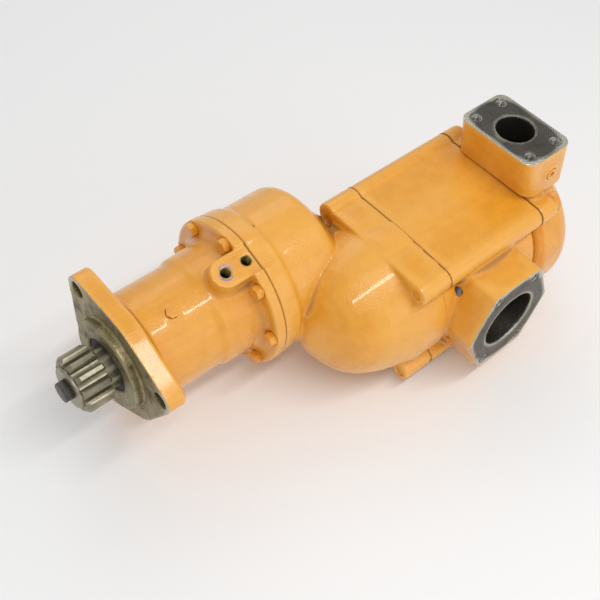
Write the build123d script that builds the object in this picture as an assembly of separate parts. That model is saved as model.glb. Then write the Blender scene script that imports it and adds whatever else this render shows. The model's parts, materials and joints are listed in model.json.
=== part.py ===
"""Pre-engaged air starting motor: a vane air motor drives a pinion through one
reduction gear, and a piston in the drive housing slides the pinion into mesh.

Frame: X is the drive axis and points to the rear, the pinion is at -X. +Z is up,
towards the air inlet, and the exhaust points to -Y. The origin is the centre of
the mounting face. Lengths are in millimetres and angles in degrees, counted
from +Y towards +Z.
"""
from build123d import *
import math
import os

os.makedirs("parts", exist_ok=True)

# ------------------------------------------------------------------ driving dimensions
INCH = 25.4
running_clearance = 0.05
slide_clearance = 0.05
bolt_clearance = 0.4
screw_clearance = 0.3
recess_clearance = 0.3
overcut = 1.0
gasket_thickness = 0.8
engage_travel = 22.0

# drive housing barrel, and the three-eared mounting flange in front of it
barrel_radius = 53.6
barrel_wall = 7.6
barrel_swell = 2.8
barrel_step_length = 7.0
drive_rear_x = 139.0
pilot_radius = 46.04
pilot_length = 9.0
mount_circle_radius = 73.025
mount_angles = (46.0, 166.0, 286.0)
mount_hole_radius = 8.4
ear_radius = 14.0
flange_thickness = 19.0
flange_chamfer = 1.5

# drive housing rear flange and air port pad
drive_flange_thickness = 11.0
housing_screw_count = 8
port_pad_angle = 111.0
port_pad_half_width = 14.5
port_radius = 5.6
port_hole_end = 20.0
barrel_plug_x = 51.4
barrel_plug_angle = 112.4

# output pinion, 12 teeth, stub form
pinion_teeth = 12
pinion_module = INCH / 6
pinion_addendum = INCH / 8
pinion_dedendum = 1.25 * INCH / 8
pinion_front_x = -46.0
pinion_face_width = 28.0
collar_radius = 21.5
collar_rear_x = 32.0
shaft_radius = 12.5

# reduction gears, 16 diametral pitch
gear_module = INCH / 16
drive_gear_teeth = 78
rotor_pinion_teeth = 22
gear_face_width = 18.0
motor_axis_angle = 194.2

# vane motor
rotor_radius = 56.0
rotor_length = 98.0
rotor_end_gap = 0.1
liner_crescent = 5.0
liner_tip_gap = 0.4
liner_wall = 7.0
motor_wall = 8.0
end_plate_thickness = 15.0
end_plate_spigot = 2.0
vane_count = 6
vane_thickness = 4.0
vane_height = 26.0
tie_bolt_radius = 4.76

# rear head, air inlet and exhaust
rear_head_length = 64.0
inlet_height = 125.12
inlet_side_offset = 3.85
inlet_bore_radius = 19.05
inlet_bolt_spacing_x = 35.7
inlet_bolt_spacing_y = 69.85
inlet_block_length_x = 62.6
inlet_block_length_y = 93.2
exhaust_reach = 108.15
exhaust_front_offset = 7.8
exhaust_bore_radius = 31.75
exhaust_bolt_spacing_x = 50.8
exhaust_bolt_spacing_z = 88.9
exhaust_pad_half_width = 55.0
exhaust_pad_half_height = 54.0
port_thread_radius = 5.36
port_thread_depth = 27.0

# hardware
screw_radius = 3.97
screw_seat_depth = 1.0
screw_seat_radius = 8.5
screw_head_across_flats = 12.7
screw_head_height = 5.4
screw_thread_length = 19.0
lock_washer_thickness = 2.0
lock_washer_radius = 6.9
tie_head_across_flats = 14.29
tie_head_height = 6.2
tie_washer_thickness = 1.6
tie_washer_radius = 9.0

# ball bearings: bore radius, outer radius, width
shaft_bearing = (shaft_radius, 26.0, 15.0)
gear_bearing = (15.0, 31.0, 16.0)
motor_bearing = (12.5, 26.0, 15.0)

# ------------------------------------------------------------------ worked-out places
drive_axis = (0.0, 0.0)
centre_distance = gear_module * (drive_gear_teeth + rotor_pinion_teeth) / 2
motor_y = centre_distance * math.cos(math.radians(motor_axis_angle))
motor_z = centre_distance * math.sin(math.radians(motor_axis_angle))
motor_axis = (motor_y, motor_z)

# radii that follow the barrel, the gear and the rotor
flange_core_radius = barrel_radius + 9.9
barrel_rear_radius = barrel_radius + barrel_swell
drive_cavity_radius = barrel_radius - barrel_wall
gear_cavity_radius = gear_module * (drive_gear_teeth + 2) / 2 + 0.8
hump_radius = gear_cavity_radius + 7.7
housing_screw_circle_radius = gear_cavity_radius + 4.9
drive_flange_radius = housing_screw_circle_radius + 8.3
port_pad_height = drive_flange_radius - 3.5
gear_case_rim_radius = drive_flange_radius - 0.5
liner_bore_radius = rotor_radius + liner_crescent
liner_offset = liner_crescent - liner_tip_gap
liner_outer_radius = liner_bore_radius + liner_wall
motor_barrel_radius = liner_outer_radius + motor_wall
tie_bolt_circle_radius = motor_barrel_radius + 9.3

# stations along X, each from the one before it
barrel_step_x = drive_rear_x - 56.0
piston_front_x = drive_rear_x - 55.0
engage_port_x = drive_rear_x - 31.5
bulkhead_front_x = drive_rear_x - 25.0
sense_port_x = drive_rear_x - 8.0
gear_case_front_x = drive_rear_x + gasket_thickness
gear_front_x = drive_rear_x + 33.0
gear_rear_x = gear_front_x + gear_face_width
case_flange_front_x = gear_rear_x + 51.0
motor_front_x = case_flange_front_x + 36.0
motor_body_front_x = motor_front_x + gasket_thickness
front_plate_x = motor_body_front_x + end_plate_spigot
liner_front_x = front_plate_x + end_plate_thickness
liner_rear_x = liner_front_x + rotor_length
rear_plate_end_x = liner_rear_x + end_plate_thickness
motor_rear_x = rear_plate_end_x - end_plate_spigot
rear_head_front_x = motor_rear_x + gasket_thickness
rear_head_end_x = rear_head_front_x + rear_head_length
rear_lug_end_x = rear_head_front_x + 21.4
inlet_centre_x = rear_head_front_x + 15.1
inlet_centre_y = motor_y - inlet_side_offset
inlet_face_z = motor_z + inlet_height
exhaust_centre_x = (motor_body_front_x + motor_rear_x) / 2 - exhaust_front_offset
exhaust_face_y = motor_y - exhaust_reach
screw_angles = [360.0 / housing_screw_count * i for i in range(housing_screw_count)]


# ------------------------------------------------------------------ shared shapes
def rod(radius, x0, x1, centre=drive_axis):
    """Cylinder along X from x0 to x1."""
    solid = Cylinder(radius, x1 - x0, align=(Align.CENTER, Align.CENTER, Align.MIN))
    return Pos(x0, centre[0], centre[1]) * Rot(0, 90, 0) * solid


def tube(outer, inner, x0, x1, centre=drive_axis):
    """Round tube along X."""
    return rod(outer, x0, x1, centre) - rod(inner, x0, x1, centre)


def turned(profile, centre=drive_axis):
    """Solid of revolution from (x, radius) points."""
    face = make_face(Polyline(*profile, close=True))
    return Pos(0, centre[0], centre[1]) * revolve(face, Axis.X)


def at_angle(shape, angle, centre=drive_axis):
    """Turn a shape about an axis parallel to X."""
    return Pos(0, centre[0], centre[1]) * Rot(angle, 0, 0) * Pos(0, -centre[0], -centre[1]) * shape


def polar(radius, angle, centre=drive_axis):
    """Y and Z of a point at an angle about an axis."""
    a = math.radians(angle)
    return centre[0] + radius * math.cos(a), centre[1] + radius * math.sin(a)


def hex_prism(across_flats, x0, x1, centre=drive_axis):
    """Hexagonal bar along X."""
    sketch = Plane.YZ * RegularPolygon(across_flats / math.sqrt(3), 6)
    return Pos(x0, centre[0], centre[1]) * extrude(sketch, x1 - x0)


def gear_face(module, teeth, addendum, dedendum, backlash=0.0):
    """Gear outline with curved flanks, a tooth centred on +Y, drawn on the YZ plane."""
    pressure_angle = math.radians(20)
    pitch = module * teeth / 2
    base = pitch * math.cos(pressure_angle)
    tip = pitch + addendum
    root = pitch - dedendum
    half_tooth = (math.pi * module / 2 - backlash) / 2 / pitch

    def involute(angle):
        return math.tan(angle) - angle

    def flank(radius):
        if radius <= base:
            return half_tooth + involute(pressure_angle)
        return half_tooth + involute(pressure_angle) - involute(math.acos(base / radius))

    outline = []
    steps = [root, max(root + 0.01, base), pitch - 0.3 * dedendum, pitch, pitch + 0.5 * addendum, tip]
    for tooth in range(teeth):
        middle = 2 * math.pi * tooth / teeth
        left = [(r * math.cos(middle - flank(r)), r * math.sin(middle - flank(r))) for r in steps]
        right = [(r * math.cos(middle + flank(r)), r * math.sin(middle + flank(r))) for r in steps[::-1]]
        outline += left + right
    return Plane.YZ * make_face(Polyline(*outline, close=True))


def bearing(size, x0, centre=drive_axis, balls=9):
    """Ball bearing as outer ring, inner ring and balls."""
    bore, outer, width = size
    pitch = (bore + outer) / 2
    ball = 0.29 * (outer - bore)
    middle = x0 + width / 2
    land = 0.55 * ball
    groove = Pos(middle, centre[0], centre[1]) * Rot(0, 90, 0) * Torus(pitch, ball + running_clearance)
    outer_ring = tube(outer, pitch + land, x0, x0 + width, centre) - groove
    inner_ring = tube(pitch - land, bore, x0, x0 + width, centre) - groove
    spots = [polar(pitch, 360.0 / balls * i, centre) for i in range(balls)]
    ball_set = [Pos(middle, y, z) * Sphere(ball) for y, z in spots]
    return outer_ring, inner_ring, ball_set


def save(name, *solids):
    """Write one node, as one solid or a group of separate solids."""
    shape = solids[0]
    if len(solids) > 1:
        shape = Compound(children=[Compound(solid.wrapped) for solid in solids])
    export_step(shape, f"parts/{name}.step")


# ------------------------------------------------------------------ drive housing
seal_outer_radius = collar_radius + 6.5
seal_front_x = -7.0
seal_rear_x = 3.0
bush_outer_radius = collar_radius + 4.0
bush_rear_x = 26.0
piston_length = shaft_bearing[2] + 1.0
bulkhead_length = 10.0
shaft_tail_radius = 20.0
shoulder_radius = shaft_radius + 4.0
flange_neck = 9.0
plug_stem_radius = 5.0
plug_boss_radius = 8.0
plug_boss_rise = 1.2


def mounting_flange():
    """Core disc with three ears, each joined to the disc by its tangent lines."""
    plate = Circle(flange_core_radius)
    spread = math.degrees(math.acos((flange_core_radius - ear_radius) / mount_circle_radius))
    for angle in mount_angles:
        ear = polar(mount_circle_radius, angle)
        points = [polar(flange_core_radius, angle - spread), polar(flange_core_radius, angle + spread)]
        for side in (spread, -spread):
            reach = polar(ear_radius, angle + side)
            points.append((ear[0] + reach[0], ear[1] + reach[1]))
        plate += make_face(Polyline(*points, close=True))
        plate += Pos(*ear) * Circle(ear_radius)
    return extrude(Plane.YZ * plate, flange_thickness)


def port_pad(front_x, rear_x, half_width, height):
    """Racetrack boss that stands up from the axis to a flat top, rounded at its front."""
    outline = Pos((front_x + rear_x) / 2, 0) * Rectangle(rear_x - front_x, 2 * half_width)
    outline += Pos(front_x, 0) * Circle(half_width)
    boss = extrude(outline, height)
    return Rot(port_pad_angle - 90.0, 0, 0) * boss


def pad_trim(x0, x1):
    """Block that mills the flange rims level with the port pad."""
    width = 2 * port_pad_half_width
    block = Box(x1 - x0, width, drive_flange_radius, align=(Align.MIN, Align.CENTER, Align.MIN))
    return Rot(port_pad_angle - 90.0, 0, 0) * Pos(x0, 0, port_pad_height) * block


def radial_hole(x, angle, radius, top, depth):
    """Round hole towards the drive axis, from a height above the axis down."""
    hole = Cylinder(radius, depth, align=(Align.CENTER, Align.CENTER, Align.MAX))
    return Rot(angle - 90.0, 0, 0) * Pos(x, 0, top) * hole


def make_drive_housing():
    """Barrel with a pilot and ears in front, a screw flange behind and a port pad on top."""
    rim_x = drive_rear_x - drive_flange_thickness
    shell = turned([
        (0, 0), (0, barrel_radius), (barrel_step_x, barrel_radius),
        (barrel_step_x + barrel_step_length, barrel_rear_radius),
        (rim_x - flange_neck, barrel_rear_radius + 0.6), (rim_x - 2.5, barrel_rear_radius + 3.6),
        (rim_x, min(barrel_rear_radius + flange_neck, drive_flange_radius - 1.0)), (rim_x, drive_flange_radius),
        (drive_rear_x, drive_flange_radius), (drive_rear_x, 0)])
    flange = chamfer(mounting_flange().faces().sort_by(Axis.X)[-1].edges(), flange_chamfer)
    body = shell + flange + rod(pilot_radius, -pilot_length, 0)
    body += port_pad(engage_port_x, drive_rear_x, port_pad_half_width, port_pad_height)
    plug_top = barrel_radius + plug_boss_rise
    plug_boss = Cylinder(plug_boss_radius, plug_top, align=(Align.CENTER, Align.CENTER, Align.MIN))
    body += Rot(barrel_plug_angle - 90.0, 0, 0) * Pos(barrel_plug_x, 0, 0) * plug_boss
    body -= pad_trim(rim_x - 5.0, drive_rear_x + overcut)
    body -= rod(seal_outer_radius, -pilot_length - overcut, seal_rear_x)
    body -= rod(bush_outer_radius, seal_rear_x, bush_rear_x)
    body -= rod(drive_cavity_radius, bush_rear_x, drive_rear_x)
    for angle in mount_angles:
        ear = polar(mount_circle_radius, angle)
        body -= rod(mount_hole_radius, -overcut, flange_thickness + overcut, ear)
    for angle in screw_angles:
        spot = polar(housing_screw_circle_radius, angle)
        body -= rod(screw_radius + screw_clearance, rim_x - 3.0, drive_rear_x + overcut, spot)
        body -= rod(screw_seat_radius, rim_x - 2 * drive_flange_thickness, rim_x + screw_seat_depth, spot)
    for port_x in (engage_port_x, sense_port_x):
        body -= radial_hole(port_x, port_pad_angle, port_radius, port_pad_height, port_pad_height - port_hole_end)
    body -= radial_hole(barrel_plug_x, barrel_plug_angle, plug_stem_radius, plug_top + plug_boss_rise, 30.0)
    edges = body.edges().filter_by(GeomType.CIRCLE).group_by(Axis.X)[0].sort_by(SortBy.RADIUS)
    return chamfer(edges[-1], 1.2)


def make_barrel_plug():
    """Low hexagon-head plug that closes the barrel's grease hole."""
    seat = barrel_radius + plug_boss_rise
    stem = Cylinder(plug_stem_radius, barrel_wall + 0.4, align=(Align.CENTER, Align.CENTER, Align.MAX))
    head = extrude(RegularPolygon(6.4, 6), 3.0)
    return Rot(barrel_plug_angle - 90.0, 0, 0) * Pos(barrel_plug_x, 0, seat) * (stem + head)


save("drive_housing", make_drive_housing())
save("barrel_plug", make_barrel_plug())
save("pinion_seal", tube(seal_outer_radius, collar_radius + running_clearance, seal_front_x, seal_rear_x))
save("front_bushing", tube(bush_outer_radius, collar_radius + running_clearance, seal_rear_x, bush_rear_x))


# ------------------------------------------------------------------ output shaft and pinion
spline_count = 6
spline_width = 6.0
spline_height = 3.0
spline_clearance = 0.1
stub_radius = 10.0
stub_front_x = gear_front_x - 50.0
piston_bearing_x = piston_front_x + 0.5
tail_front_x = piston_bearing_x + shaft_bearing[2]
tail_rear_x = gear_front_x - 10.0
washer_thickness = 3.2
washer_radius = 21.0
washer_front_x = pinion_front_x - washer_thickness
pinion_screw_radius = 6.0
pinion_screw_length = 30.0
pinion_screw_head = 8.0
pinion_screw_across_flats = 19.05


def splines(radius, height, width, x0, x1):
    """Straight spline bars around a shaft."""
    bars = []
    for i in range(spline_count):
        bar = Box(x1 - x0, radius + height, width, align=(Align.MIN, Align.MIN, Align.CENTER))
        bars.append(Rot(360.0 / spline_count * i, 0, 0) * Pos(x0, 0, 0) * bar)
    return bars


def make_drive_pinion():
    """Twelve teeth with chamfered entry ends, on a smooth collar."""
    rear_x = pinion_front_x + pinion_face_width
    outline = gear_face(pinion_module, pinion_teeth, pinion_addendum, pinion_dedendum, 0.15)
    teeth = Pos(pinion_front_x, 0, 0) * extrude(outline, pinion_face_width)
    tip = pinion_module * pinion_teeth / 2 + pinion_addendum
    envelope = turned([
        (pinion_front_x, 0), (pinion_front_x, tip - 3.4), (pinion_front_x + 3.4, tip),
        (rear_x - 1.5, tip), (rear_x, tip - 1.5), (rear_x, 0)])
    body = (teeth & envelope) + rod(collar_radius, rear_x - 0.01, collar_rear_x)
    return body - rod(shaft_radius, pinion_front_x - overcut, collar_rear_x + overcut)


def make_output_shaft():
    """Shaft that carries the pinion; its hollow tail slides on the drive gear's spline."""
    front = rod(shaft_radius, pinion_front_x, tail_front_x)
    body = front + rod(shaft_tail_radius, tail_front_x, tail_rear_x)
    body += rod(shoulder_radius, collar_rear_x, piston_bearing_x)
    socket_x = tail_front_x + 2.0
    body -= rod(stub_radius + running_clearance, socket_x, tail_rear_x + overcut)
    height = spline_height + 3 * spline_clearance
    width = spline_width + 2 * spline_clearance
    for bar in splines(stub_radius, height, width, socket_x, tail_rear_x + overcut):
        body -= bar
    return body - rod(pinion_screw_radius, pinion_front_x - overcut, pinion_front_x + pinion_screw_length + 2.0)


def make_pinion_screw():
    """Hexagon screw with a crowned head."""
    head_front = washer_front_x - pinion_screw_head
    head = hex_prism(pinion_screw_across_flats, head_front, washer_front_x)
    corner = pinion_screw_across_flats / math.sqrt(3) + 0.2
    cone = turned([
        (head_front, 0), (head_front, corner - 2.0), (head_front + 1.6, corner),
        (washer_front_x, corner), (washer_front_x, 0)])
    return (head & cone) + rod(pinion_screw_radius, washer_front_x, pinion_front_x + pinion_screw_length)


def make_pinion_washer():
    washer = tube(washer_radius, pinion_screw_radius, washer_front_x, pinion_front_x)
    return chamfer(washer.edges().group_by(Axis.X)[0], 0.8)


save("drive_pinion", make_drive_pinion())
save("output_shaft", make_output_shaft())
save("pinion_washer", make_pinion_washer())
save("pinion_screw", make_pinion_screw())


# ------------------------------------------------------------------ engagement piston
ring_gap = 0.02
ring_section = 3.0
ring_half_width = 2.0
piston_middle = piston_front_x + piston_length / 2
spring_wire_radius = 2.4
spring_end_gap = 0.2
spring_coil_gap = 2.3
spring_radius = drive_cavity_radius - 10.0
spring_pressed_length = piston_front_x - bush_rear_x - engage_travel
spring_turns = math.floor(spring_pressed_length / (2 * spring_wire_radius + spring_coil_gap))


def make_piston():
    """Ring that holds the shaft bearing, grooved for its seal ring."""
    outer = drive_cavity_radius - slide_clearance
    body = tube(outer, shaft_bearing[1], piston_front_x, piston_front_x + piston_length)
    groove_x = (piston_middle - ring_half_width, piston_middle + ring_half_width)
    return body - tube(outer + overcut, outer - ring_section, *groove_x)


def make_return_spring():
    """Coil between the housing's front wall and the piston."""
    low = bush_rear_x + spring_wire_radius + spring_end_gap
    high = piston_front_x - spring_wire_radius - spring_end_gap
    path = Helix((high - low) / spring_turns, high - low, spring_radius)
    wire = Plane(origin=path @ 0, z_dir=path % 0) * Circle(spring_wire_radius)
    return Pos(low, 0, 0) * Rot(0, 90, 0) * sweep(wire, path, is_frenet=True)


piston_outer_ring, piston_inner_ring, piston_balls = bearing(shaft_bearing, piston_bearing_x)
save("engagement_piston", make_piston())
save("piston_ring", tube(drive_cavity_radius - ring_gap, drive_cavity_radius - slide_clearance - ring_section,
                         piston_middle - ring_half_width, piston_middle + ring_half_width))
save("return_spring", make_return_spring())
save("piston_bearing_outer_ring", piston_outer_ring)
save("piston_bearing_balls", *piston_balls)
save("piston_bearing_inner_ring", piston_inner_ring)


bulkhead_middle = bulkhead_front_x + bulkhead_length / 2
bulkhead_groove_x = (bulkhead_middle - ring_half_width, bulkhead_middle + ring_half_width)


def make_bulkhead():
    """Fixed wall behind the air chamber, with grooves for its two seal rings."""
    rear_x = bulkhead_front_x + bulkhead_length
    body = tube(drive_cavity_radius, shaft_tail_radius + slide_clearance, bulkhead_front_x, rear_x)
    body -= tube(drive_cavity_radius + overcut, drive_cavity_radius - ring_section, *bulkhead_groove_x)
    return body - tube(shaft_tail_radius + ring_section, shaft_tail_radius, *bulkhead_groove_x)


save("bulkhead", make_bulkhead())
save("bulkhead_outer_seal", tube(drive_cavity_radius, drive_cavity_radius - ring_section, *bulkhead_groove_x))
save("bulkhead_inner_seal", tube(shaft_tail_radius + ring_section, shaft_tail_radius + ring_gap,
                                 *bulkhead_groove_x))


# ------------------------------------------------------------------ drive gear
gear_bearing_x = (gear_rear_x + 3.0, gear_rear_x + 6.0 + gear_bearing[2])
hub_rear_x = gear_bearing_x[1] + gear_bearing[2]
gear_boss_radius = gear_bearing[1] + 6.0
gear_backlash = 0.12
gear_web_recess = 6.0
gear_web_radius = gear_module * drive_gear_teeth / 2 - 7.9


def make_drive_gear():
    """Gear disc with a rear bearing journal and a splined front stub."""
    outline = gear_face(gear_module, drive_gear_teeth, gear_module, 1.25 * gear_module, gear_backlash)
    body = Pos(gear_front_x, 0, 0) * extrude(outline, gear_face_width)
    for side_x in (gear_front_x - overcut, gear_rear_x - gear_web_recess):
        body -= tube(gear_web_radius, 26.0, side_x, side_x + gear_web_recess + overcut)
    body += rod(gear_bearing[0] + 3.0, gear_front_x, gear_bearing_x[0])
    body += rod(gear_bearing[0], gear_bearing_x[0] - 0.01, hub_rear_x)
    stub = rod(stub_radius, stub_front_x, gear_front_x)
    for bar in splines(stub_radius, spline_height, spline_width, stub_front_x, gear_front_x - 2.0):
        stub += bar
    return body + stub


gear_bearing_parts = [bearing(gear_bearing, x, drive_axis, 9) for x in gear_bearing_x]
save("drive_gear", make_drive_gear())
save("gear_bearing_outer_rings", *[part[0] for part in gear_bearing_parts])
save("gear_bearing_inner_rings", *[part[1] for part in gear_bearing_parts])
save("gear_bearing_balls", *[ball for part in gear_bearing_parts for ball in part[2]])


# ------------------------------------------------------------------ housing screws and gasket
def make_housing_screw(angle):
    spot = polar(housing_screw_circle_radius, angle)
    seat = drive_rear_x - drive_flange_thickness + screw_seat_depth - lock_washer_thickness
    head_front = seat - screw_head_height
    head = hex_prism(screw_head_across_flats, head_front, seat, spot)
    corner = screw_head_across_flats / math.sqrt(3) + 0.07
    crown = turned([
        (head_front, 0), (head_front, corner - 1.3), (head_front + 1.0, corner), (seat, corner), (seat, 0)], spot)
    return (head & crown) + rod(screw_radius, seat, gear_case_front_x + screw_thread_length, spot)


def make_lock_washer(angle):
    spot = polar(housing_screw_circle_radius, angle)
    rear = drive_rear_x - drive_flange_thickness + screw_seat_depth
    return tube(lock_washer_radius, screw_radius, rear - lock_washer_thickness, rear, spot)


def make_drive_gasket():
    ring = tube(drive_flange_radius - 1.0, gear_cavity_radius, drive_rear_x, gear_case_front_x)
    ends = (drive_rear_x - overcut, gear_case_front_x + overcut)
    for angle in screw_angles:
        ring -= rod(screw_radius + screw_clearance, *ends, polar(housing_screw_circle_radius, angle))
    return ring - pad_trim(*ends)


save("housing_screws", *[make_housing_screw(angle) for angle in screw_angles])
save("housing_lock_washers", *[make_lock_washer(angle) for angle in screw_angles])
save("drive_gasket", make_drive_gasket())


# ------------------------------------------------------------------ motor body cross-section
# each ridge: angle about the motor axis, distance from it, radius of its round crest
ridges = ((46.5, tie_bolt_circle_radius + 5.2, 13.0), (135.0, tie_bolt_circle_radius, 12.0),
          (225.0, tie_bolt_circle_radius, 9.5), (315.0, tie_bolt_circle_radius, 9.5))
bolt_angles = (45.0, 135.0, 225.0, 315.0)
panel_half_width = 52.0
panel_height = motor_barrel_radius
ridge_reach = motor_barrel_radius + 23.0
ridge_root_fillet = 4.0


def motor_outline(barrel):
    """Round barrel with a flat top panel and a ridge over each tie bolt."""
    shape = Circle(barrel)
    angle, reach, crest = ridges[1]
    left = polar(reach, angle)
    top_left = (left[0] + 1.0, left[1] + crest)
    shape += make_face(Polyline((panel_half_width, 20), (panel_half_width, panel_height), (0, panel_height),
                                top_left, (left[0], 20), close=True)) & Circle(ridge_reach)
    for angle, reach, crest in ridges:
        web = Pos(reach / 2, 0) * Rectangle(reach, 2 * crest)
        shape += Rot(0, 0, angle) * (web + Pos(reach, 0) * Circle(crest))
    corners = [v for v in shape.vertices() if -4.0 < math.hypot(v.X, v.Y) - barrel < 12.0]
    return fillet(corners, ridge_root_fillet)


def motor_prism(barrel, x0, x1):
    """Motor cross-section extruded from x0 to x1."""
    return Pos(x0, motor_y, motor_z) * extrude(Plane.YZ * motor_outline(barrel), x1 - x0)


# ------------------------------------------------------------------ gear case
gear_case_rim_length = 18.0
pinion_shaft_bearing_x = (gear_rear_x + 5.0, gear_rear_x + 35.0)
boss_rear_x = pinion_shaft_bearing_x[1] + motor_bearing[2] + 2.0
motor_boss_radius = motor_bearing[1] + 6.0
pinion_cavity_radius = gear_module * (rotor_pinion_teeth + 2) / 2 + 1.0
dome_radius = motor_barrel_radius - 0.5
housing_screw_hole_depth = screw_thread_length + 3.0
# rounded ends as (distance from the station named below, share of the full radius)
hump_end = ((39.0, 1.0), (44.0, 0.979), (48.0, 0.924), (53.0, 0.8125), (63.0, 0.576), (73.0, 0.347),
            (80.0, 0.1806), (80.0, 0.0))
dome_end = ((81.0, 0.0), (81.0, 0.106), (78.0, 0.225), (74.0, 0.344), (69.0, 0.464), (63.0, 0.589),
            (56.0, 0.695), (48.0, 0.775), (39.0, 0.837), (27.0, 0.901), (13.0, 0.960), (0.0, 1.0))


def make_gear_case_outside():
    """Front rim and hump on the drive axis, dome and rear flange on the motor axis."""
    rim_rear_x = gear_case_front_x + gear_case_rim_length
    rim = [
        (gear_case_front_x, 0), (gear_case_front_x, gear_case_rim_radius),
        (rim_rear_x, gear_case_rim_radius - 1.2), (rim_rear_x + 1.5, gear_case_rim_radius - 2.4),
        (rim_rear_x + 4.5, hump_radius)]
    hump = turned(rim + [(gear_front_x + reach, hump_radius * share) for reach, share in hump_end])
    nose = [(case_flange_front_x - reach, dome_radius * share) for reach, share in dome_end]
    dome = turned(nose + [
        (case_flange_front_x + 3.0, dome_radius), (case_flange_front_x + 5.0, dome_radius + 2.0),
        (motor_front_x, dome_radius + 2.0), (motor_front_x, 0)], motor_axis)
    return hump + dome + motor_prism(motor_barrel_radius, case_flange_front_x, motor_front_x)


def make_gear_case_hollow():
    """Chamber behind the dome, less the metal round the gear's bearings."""
    chamber = turned([
        (case_flange_front_x - 27.0, motor_boss_radius), (case_flange_front_x - 27.0, liner_outer_radius - 8.0),
        (case_flange_front_x - 13.0, liner_outer_radius - 3.0), (case_flange_front_x, liner_outer_radius),
        (motor_front_x + overcut, liner_outer_radius), (motor_front_x + overcut, 0), (boss_rear_x, 0),
        (boss_rear_x, motor_boss_radius)], motor_axis)
    boss = gear_boss_radius + 8.0
    bearing_wall = turned([
        (gear_rear_x, 0), (gear_rear_x, boss), (gear_rear_x + 35.0, boss), (gear_rear_x + 55.0, boss - 15.0),
        (gear_rear_x + 66.0, boss - 31.0), (gear_rear_x + 66.0, 0)])
    return chamber - bearing_wall


def make_gear_case():
    """Closed casting round the gears, open at its front rim and at its rear flange."""
    gears_rear_x = gear_rear_x + 1.5
    body = make_gear_case_outside()
    body -= pad_trim(gear_case_front_x - overcut, gear_case_front_x + gear_case_rim_length)
    body -= rod(gear_cavity_radius, gear_case_front_x, gears_rear_x)
    body -= rod(gear_bearing[1], gear_rear_x, hub_rear_x + 1.0)
    body -= rod(pinion_cavity_radius, gear_front_x - 2.5, gears_rear_x, motor_axis)
    body -= rod(motor_bearing[1], gear_rear_x, pinion_shaft_bearing_x[1] + motor_bearing[2], motor_axis)
    body -= rod(motor_bearing[0] + 3.0, gear_rear_x, boss_rear_x + overcut, motor_axis)
    body -= make_gear_case_hollow()
    pocket = tube(gear_cavity_radius - 0.6, gear_boss_radius, gear_rear_x, gear_rear_x + 16.0)
    body -= pocket - rod(motor_boss_radius + 8.0, gear_rear_x - overcut, gear_rear_x + 17.0, motor_axis)
    for angle in screw_angles:
        spot = polar(housing_screw_circle_radius, angle)
        body -= rod(screw_radius, gear_case_front_x, gear_case_front_x + housing_screw_hole_depth, spot)
    for angle in bolt_angles:
        spot = polar(tie_bolt_circle_radius, angle, motor_axis)
        body -= rod(tie_bolt_radius, case_flange_front_x - overcut, motor_front_x + overcut, spot)
    return body


save("gear_case", make_gear_case())


# ------------------------------------------------------------------ motor housing
exhaust_plug_depth = 35.0
exhaust_corner_radius = 7.0
exhaust_shoulder = 0.58 * exhaust_pad_half_width
exhaust_chamber = (80.0, 44.0, 76.0)


def make_exhaust_duct():
    """Six-sided duct with points on X, from the exhaust face into the barrel."""
    half_width, half_height = exhaust_pad_half_width, exhaust_pad_half_height
    outline = make_face(Polyline(
        (half_width, 0), (exhaust_shoulder, half_height), (-exhaust_shoulder, half_height),
        (-half_width, 0), (-exhaust_shoulder, -half_height), (exhaust_shoulder, -half_height), close=True))
    outline = fillet(outline.vertices(), exhaust_corner_radius)
    plane = Plane(origin=(exhaust_centre_x, exhaust_face_y, motor_z), x_dir=(1, 0, 0), z_dir=(0, -1, 0))
    return extrude(plane * outline, 20.0 - exhaust_reach)


def exhaust_hole(dx, dz, radius, depth):
    """Round hole along Y from the exhaust face inwards."""
    hole = Cylinder(radius, depth, align=(Align.CENTER, Align.CENTER, Align.MAX))
    return Pos(exhaust_centre_x + dx, exhaust_face_y, motor_z + dz) * Rot(90, 0, 0) * hole


def make_motor_housing():
    """Barrel round the liner, with its flat top panel and the exhaust duct."""
    ends = (motor_body_front_x - overcut, motor_rear_x + overcut)
    body = motor_prism(motor_barrel_radius, motor_body_front_x, motor_rear_x) + make_exhaust_duct()
    body -= rod(liner_outer_radius, *ends, motor_axis)
    body -= exhaust_hole(0, 0, exhaust_bore_radius, exhaust_plug_depth)
    chamber_y = exhaust_face_y + exhaust_plug_depth + exhaust_chamber[1] / 2
    body -= Pos(exhaust_centre_x, chamber_y, motor_z) * Box(*exhaust_chamber)
    for dx in (-exhaust_bolt_spacing_x / 2, exhaust_bolt_spacing_x / 2):
        for dz in (-exhaust_bolt_spacing_z / 2, exhaust_bolt_spacing_z / 2):
            body -= exhaust_hole(dx, dz, port_thread_radius, port_thread_depth)
    for angle in bolt_angles:
        body -= rod(tie_bolt_radius + bolt_clearance, *ends, polar(tie_bolt_circle_radius, angle, motor_axis))
    return body


def make_body_gasket(x):
    """Paper gasket in the shape of the motor cross-section."""
    ends = (x - overcut, x + gasket_thickness + overcut)
    ring = motor_prism(motor_barrel_radius - 0.8, x, x + gasket_thickness)
    ring -= rod(liner_outer_radius + 0.5, *ends, motor_axis)
    for angle in bolt_angles:
        ring -= rod(tie_bolt_radius + bolt_clearance, *ends, polar(tie_bolt_circle_radius, angle, motor_axis))
    return ring


save("motor_housing", make_motor_housing())
save("motor_gasket", make_body_gasket(motor_front_x))
save("rear_head_gasket", make_body_gasket(motor_rear_x))


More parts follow.
